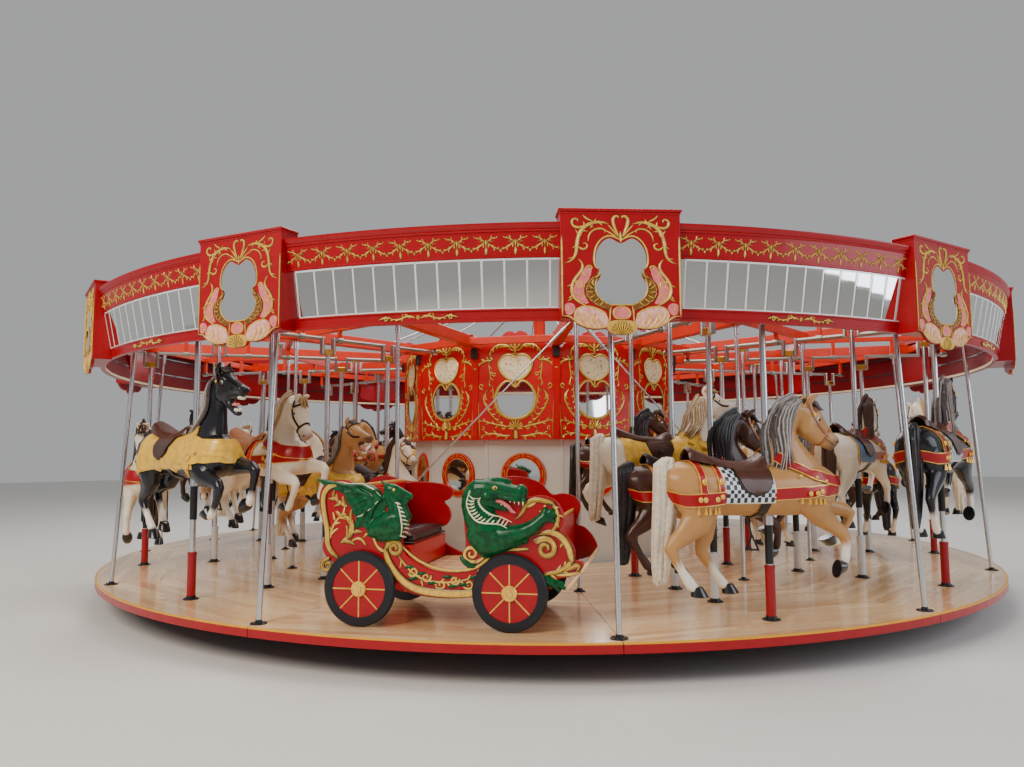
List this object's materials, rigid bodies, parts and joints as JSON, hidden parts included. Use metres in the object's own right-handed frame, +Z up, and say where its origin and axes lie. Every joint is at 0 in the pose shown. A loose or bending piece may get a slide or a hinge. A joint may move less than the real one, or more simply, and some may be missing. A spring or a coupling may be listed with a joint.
{
  "type": "fairground carousel",
  "caption": "Park carousel with jumping horses on poles, dragon chariots, mirrored rounding boards and a turning platform hung from a sweep frame.",
  "frame": {"origin": "on the turning axis, at floor level", "axes": "+Z up along the turning axis; -Y out through a sweep and its shield"},
  "size_m": [11.9524, 11.9524, 4.38],
  "materials": {
    "mast_paint": "dark grey machine paint, satin",
    "housing_paint": "pale grey painted boards, satin",
    "deck_boards": "varnished maple boards, gloss",
    "frame_paint": "orange-red paint, satin",
    "scarlet_paint": "scarlet enamel on carved wood, gloss",
    "crimson_paint": "crimson enamel on wood, gloss",
    "seat_leather": "dark brown leather, worn",
    "wheel_paint": "red enamel on wood, gloss",
    "coat_tan": "tan painted carving, varnished",
    "coat_brown": "dark brown painted carving, varnished",
    "coat_cream": "cream painted carving, varnished",
    "coat_black": "black painted carving, varnished"
  },
  "bodies": {
    "base": {"centre_mast": "mast_paint", "lower_housing": "housing_paint"},
    "turntable": {"platform": "deck_boards", "sweep_frame": "frame_paint", "drum_panels": "scarlet_paint", "rounding_boards": "crimson_paint", "chariot_1_body": "scarlet_paint", "chariot_1_seat_cushion": "seat_leather", "chariot_1_rear_wheels": "wheel_paint", "chariot_1_front_wheels": "wheel_paint", "chariot_2_body": "scarlet_paint", "chariot_2_seat_cushion": "seat_leather", "chariot_2_rear_wheels": "wheel_paint", "chariot_2_front_wheels": "wheel_paint"},
    "jumper_bay01_row1": {"horse_bay01_row1": "coat_tan"},
    "jumper_bay01_row2": {"horse_bay01_row2": "coat_brown"},
    "jumper_bay01_row3": {"horse_bay01_row3": "coat_cream"},
    "jumper_bay01_row4": {"horse_bay01_row4": "coat_brown"},
    "jumper_bay02_row1": {"horse_bay02_row1": "coat_black"},
    "jumper_bay02_row2": {"horse_bay02_row2": "coat_cream"},
    "jumper_bay02_row3": {"horse_bay02_row3": "coat_tan"},
    "jumper_bay02_row4": {"horse_bay02_row4": "coat_cream"},
    "jumper_bay03_row1": {"horse_bay03_row1": "coat_cream"},
    "jumper_bay03_row2": {"horse_bay03_row2": "coat_black"},
    "jumper_bay03_row3": {"horse_bay03_row3": "coat_brown"},
    "jumper_bay03_row4": {"horse_bay03_row4": "coat_tan"},
    "jumper_bay04_row1": {"horse_bay04_row1": "coat_brown"},
    "jumper_bay04_row2": {"horse_bay04_row2": "coat_cream"},
    "jumper_bay04_row3": {"horse_bay04_row3": "coat_black"},
    "jumper_bay04_row4": {"horse_bay04_row4": "coat_cream"},
    "jumper_bay05_row1": {"horse_bay05_row1": "coat_tan"},
    "jumper_bay05_row2": {"horse_bay05_row2": "coat_black"},
    "jumper_bay05_row3": {"horse_bay05_row3": "coat_cream"},
    "jumper_bay05_row4": {"horse_bay05_row4": "coat_brown"},
    "jumper_bay07_row1": {"horse_bay07_row1": "coat_black"},
    "jumper_bay07_row2": {"horse_bay07_row2": "coat_tan"},
    "jumper_bay07_row3": {"horse_bay07_row3": "coat_cream"},
    "jumper_bay07_row4": {"horse_bay07_row4": "coat_brown"},
    "jumper_bay08_row1": {"horse_bay08_row1": "coat_cream"},
    "jumper_bay08_row2": {"horse_bay08_row2": "coat_brown"},
    "jumper_bay08_row3": {"horse_bay08_row3": "coat_tan"},
    "jumper_bay08_row4": {"horse_bay08_row4": "coat_black"},
    "jumper_bay09_row1": {"horse_bay09_row1": "coat_brown"},
    "jumper_bay09_row2": {"horse_bay09_row2": "coat_cream"},
    "jumper_bay09_row3": {"horse_bay09_row3": "coat_black"},
    "jumper_bay09_row4": {"horse_bay09_row4": "coat_tan"},
    "jumper_bay10_row1": {"horse_bay10_row1": "coat_cream"},
    "jumper_bay10_row2": {"horse_bay10_row2": "coat_tan"},
    "jumper_bay10_row3": {"horse_bay10_row3": "coat_brown"},
    "jumper_bay10_row4": {"horse_bay10_row4": "coat_cream"},
    "jumper_bay11_row1": {"horse_bay11_row1": "coat_black"},
    "jumper_bay11_row2": {"horse_bay11_row2": "coat_cream"},
    "jumper_bay11_row3": {"horse_bay11_row3": "coat_tan"},
    "jumper_bay11_row4": {"horse_bay11_row4": "coat_cream"}
  },
  "joints": [
    {"name": "carousel_spin", "type": "hinge", "parent": "base", "child": "turntable", "pos_m": [0, 0, 0], "axis": [0, 0, 1], "continuous": true},
    {"name": "gallop_bay01_row1", "type": "slide", "parent": "turntable", "child": "jumper_bay01_row1", "axis": [0, 0, 1], "range_m": [0, 0.3]},
    {"name": "gallop_bay01_row2", "type": "slide", "parent": "turntable", "child": "jumper_bay01_row2", "axis": [0, 0, 1], "range_m": [0, 0.3]},
    {"name": "gallop_bay01_row3", "type": "slide", "parent": "turntable", "child": "jumper_bay01_row3", "axis": [0, 0, 1], "range_m": [-0.3, 0]},
    {"name": "gallop_bay01_row4", "type": "slide", "parent": "turntable", "child": "jumper_bay01_row4", "axis": [0, 0, 1], "range_m": [-0.3, 0]},
    {"name": "gallop_bay02_row1", "type": "slide", "parent": "turntable", "child": "jumper_bay02_row1", "axis": [0, 0, 1], "range_m": [-0.3, 0]},
    {"name": "gallop_bay02_row2", "type": "slide", "parent": "turntable", "child": "jumper_bay02_row2", "axis": [0, 0, 1], "range_m": [-0.3, 0]},
    {"name": "gallop_bay02_row3", "type": "slide", "parent": "turntable", "child": "jumper_bay02_row3", "axis": [0, 0, 1], "range_m": [0, 0.3]},
    {"name": "gallop_bay02_row4", "type": "slide", "parent": "turntable", "child": "jumper_bay02_row4", "axis": [0, 0, 1], "range_m": [0, 0.3]},
    {"name": "gallop_bay03_row1", "type": "slide", "parent": "turntable", "child": "jumper_bay03_row1", "axis": [0, 0, 1], "range_m": [-0.3, 0]},
    {"name": "gallop_bay03_row2", "type": "slide", "parent": "turntable", "child": "jumper_bay03_row2", "axis": [0, 0, 1], "range_m": [0, 0.3]},
    {"name": "gallop_bay03_row3", "type": "slide", "parent": "turntable", "child": "jumper_bay03_row3", "axis": [0, 0, 1], "range_m": [0, 0.3]},
    {"name": "gallop_bay03_row4", "type": "slide", "parent": "turntable", "child": "jumper_bay03_row4", "axis": [0, 0, 1], "range_m": [-0.3, 0]},
    {"name": "gallop_bay04_row1", "type": "slide", "parent": "turntable", "child": "jumper_bay04_row1", "axis": [0, 0, 1], "range_m": [0, 0.3]},
    {"name": "gallop_bay04_row2", "type": "slide", "parent": "turntable", "child": "jumper_bay04_row2", "axis": [0, 0, 1], "range_m": [-0.3, 0]},
    {"name": "gallop_bay04_row3", "type": "slide", "parent": "turntable", "child": "jumper_bay04_row3", "axis": [0, 0, 1], "range_m": [-0.3, 0]},
    {"name": "gallop_bay04_row4", "type": "slide", "parent": "turntable", "child": "jumper_bay04_row4", "axis": [0, 0, 1], "range_m": [0, 0.3]},
    {"name": "gallop_bay05_row1", "type": "slide", "parent": "turntable", "child": "jumper_bay05_row1", "axis": [0, 0, 1], "range_m": [0, 0.3]},
    {"name": "gallop_bay05_row2", "type": "slide", "parent": "turntable", "child": "jumper_bay05_row2", "axis": [0, 0, 1], "range_m": [0, 0.3]},
    {"name": "gallop_bay05_row3", "type": "slide", "parent": "turntable", "child": "jumper_bay05_row3", "axis": [0, 0, 1], "range_m": [-0.3, 0]},
    {"name": "gallop_bay05_row4", "type": "slide", "parent": "turntable", "child": "jumper_bay05_row4", "axis": [0, 0, 1], "range_m": [-0.3, 0]},
    {"name": "gallop_bay07_row1", "type": "slide", "parent": "turntable", "child": "jumper_bay07_row1", "axis": [0, 0, 1], "range_m": [-0.3, 0]},
    {"name": "gallop_bay07_row2", "type": "slide", "parent": "turntable", "child": "jumper_bay07_row2", "axis": [0, 0, 1], "range_m": [-0.3, 0]},
    {"name": "gallop_bay07_row3", "type": "slide", "parent": "turntable", "child": "jumper_bay07_row3", "axis": [0, 0, 1], "range_m": [0, 0.3]},
    {"name": "gallop_bay07_row4", "type": "slide", "parent": "turntable", "child": "jumper_bay07_row4", "axis": [0, 0, 1], "range_m": [0, 0.3]},
    {"name": "gallop_bay08_row1", "type": "slide", "parent": "turntable", "child": "jumper_bay08_row1", "axis": [0, 0, 1], "range_m": [0, 0.3]},
    {"name": "gallop_bay08_row2", "type": "slide", "parent": "turntable", "child": "jumper_bay08_row2", "axis": [0, 0, 1], "range_m": [0, 0.3]},
    {"name": "gallop_bay08_row3", "type": "slide", "parent": "turntable", "child": "jumper_bay08_row3", "axis": [0, 0, 1], "range_m": [-0.3, 0]},
    {"name": "gallop_bay08_row4", "type": "slide", "parent": "turntable", "child": "jumper_bay08_row4", "axis": [0, 0, 1], "range_m": [-0.3, 0]},
    {"name": "gallop_bay09_row1", "type": "slide", "parent": "turntable", "child": "jumper_bay09_row1", "axis": [0, 0, 1], "range_m": [-0.3, 0]},
    {"name": "gallop_bay09_row2", "type": "slide", "parent": "turntable", "child": "jumper_bay09_row2", "axis": [0, 0, 1], "range_m": [0, 0.3]},
    {"name": "gallop_bay09_row3", "type": "slide", "parent": "turntable", "child": "jumper_bay09_row3", "axis": [0, 0, 1], "range_m": [0, 0.3]},
    {"name": "gallop_bay09_row4", "type": "slide", "parent": "turntable", "child": "jumper_bay09_row4", "axis": [0, 0, 1], "range_m": [-0.3, 0]},
    {"name": "gallop_bay10_row1", "type": "slide", "parent": "turntable", "child": "jumper_bay10_row1", "axis": [0, 0, 1], "range_m": [0, 0.3]},
    {"name": "gallop_bay10_row2", "type": "slide", "parent": "turntable", "child": "jumper_bay10_row2", "axis": [0, 0, 1], "range_m": [-0.3, 0]},
    {"name": "gallop_bay10_row3", "type": "slide", "parent": "turntable", "child": "jumper_bay10_row3", "axis": [0, 0, 1], "range_m": [-0.3, 0]},
    {"name": "gallop_bay10_row4", "type": "slide", "parent": "turntable", "child": "jumper_bay10_row4", "axis": [0, 0, 1], "range_m": [0, 0.3]},
    {"name": "gallop_bay11_row1", "type": "slide", "parent": "turntable", "child": "jumper_bay11_row1", "axis": [0, 0, 1], "range_m": [-0.3, 0]},
    {"name": "gallop_bay11_row2", "type": "slide", "parent": "turntable", "child": "jumper_bay11_row2", "axis": [0, 0, 1], "range_m": [-0.3, 0]},
    {"name": "gallop_bay11_row3", "type": "slide", "parent": "turntable", "child": "jumper_bay11_row3", "axis": [0, 0, 1], "range_m": [0, 0.3]},
    {"name": "gallop_bay11_row4", "type": "slide", "parent": "turntable", "child": "jumper_bay11_row4", "axis": [0, 0, 1], "range_m": [0, 0.3]}
  ],
  "couplings": [
    {"joint": "gallop_bay01_row2", "follows": "gallop_bay01_row1", "ratio": 1},
    {"joint": "gallop_bay01_row3", "follows": "gallop_bay01_row1", "ratio": -1},
    {"joint": "gallop_bay01_row4", "follows": "gallop_bay01_row1", "ratio": -1},
    {"joint": "gallop_bay02_row1", "follows": "gallop_bay01_row1", "ratio": -1},
    {"joint": "gallop_bay02_row2", "follows": "gallop_bay01_row1", "ratio": -1},
    {"joint": "gallop_bay02_row3", "follows": "gallop_bay01_row1", "ratio": 1},
    {"joint": "gallop_bay02_row4", "follows": "gallop_bay01_row1", "ratio": 1},
    {"joint": "gallop_bay03_row1", "follows": "gallop_bay01_row1", "ratio": -1},
    {"joint": "gallop_bay03_row2", "follows": "gallop_bay01_row1", "ratio": 1},
    {"joint": "gallop_bay03_row3", "follows": "gallop_bay01_row1", "ratio": 1},
    {"joint": "gallop_bay03_row4", "follows": "gallop_bay01_row1", "ratio": -1},
    {"joint": "gallop_bay04_row1", "follows": "gallop_bay01_row1", "ratio": 1},
    {"joint": "gallop_bay04_row2", "follows": "gallop_bay01_row1", "ratio": -1},
    {"joint": "gallop_bay04_row3", "follows": "gallop_bay01_row1", "ratio": -1},
    {"joint": "gallop_bay04_row4", "follows": "gallop_bay01_row1", "ratio": 1},
    {"joint": "gallop_bay05_row1", "follows": "gallop_bay01_row1", "ratio": 1},
    {"joint": "gallop_bay05_row2", "follows": "gallop_bay01_row1", "ratio": 1},
    {"joint": "gallop_bay05_row3", "follows": "gallop_bay01_row1", "ratio": -1},
    {"joint": "gallop_bay05_row4", "follows": "gallop_bay01_row1", "ratio": -1},
    {"joint": "gallop_bay07_row1", "follows": "gallop_bay01_row1", "ratio": -1},
    {"joint": "gallop_bay07_row2", "follows": "gallop_bay01_row1", "ratio": -1},
    {"joint": "gallop_bay07_row3", "follows": "gallop_bay01_row1", "ratio": 1},
    {"joint": "gallop_bay07_row4", "follows": "gallop_bay01_row1", "ratio": 1},
    {"joint": "gallop_bay08_row1", "follows": "gallop_bay01_row1", "ratio": 1},
    {"joint": "gallop_bay08_row2", "follows": "gallop_bay01_row1", "ratio": 1},
    {"joint": "gallop_bay08_row3", "follows": "gallop_bay01_row1", "ratio": -1},
    {"joint": "gallop_bay08_row4", "follows": "gallop_bay01_row1", "ratio": -1},
    {"joint": "gallop_bay09_row1", "follows": "gallop_bay01_row1", "ratio": -1},
    {"joint": "gallop_bay09_row2", "follows": "gallop_bay01_row1", "ratio": 1},
    {"joint": "gallop_bay09_row3", "follows": "gallop_bay01_row1", "ratio": 1},
    {"joint": "gallop_bay09_row4", "follows": "gallop_bay01_row1", "ratio": -1},
    {"joint": "gallop_bay10_row1", "follows": "gallop_bay01_row1", "ratio": 1},
    {"joint": "gallop_bay10_row2", "follows": "gallop_bay01_row1", "ratio": -1},
    {"joint": "gallop_bay10_row3", "follows": "gallop_bay01_row1", "ratio": -1},
    {"joint": "gallop_bay10_row4", "follows": "gallop_bay01_row1", "ratio": 1},
    {"joint": "gallop_bay11_row1", "follows": "gallop_bay01_row1", "ratio": -1},
    {"joint": "gallop_bay11_row2", "follows": "gallop_bay01_row1", "ratio": -1},
    {"joint": "gallop_bay11_row3", "follows": "gallop_bay01_row1", "ratio": 1},
    {"joint": "gallop_bay11_row4", "follows": "gallop_bay01_row1", "ratio": 1}
  ]
}
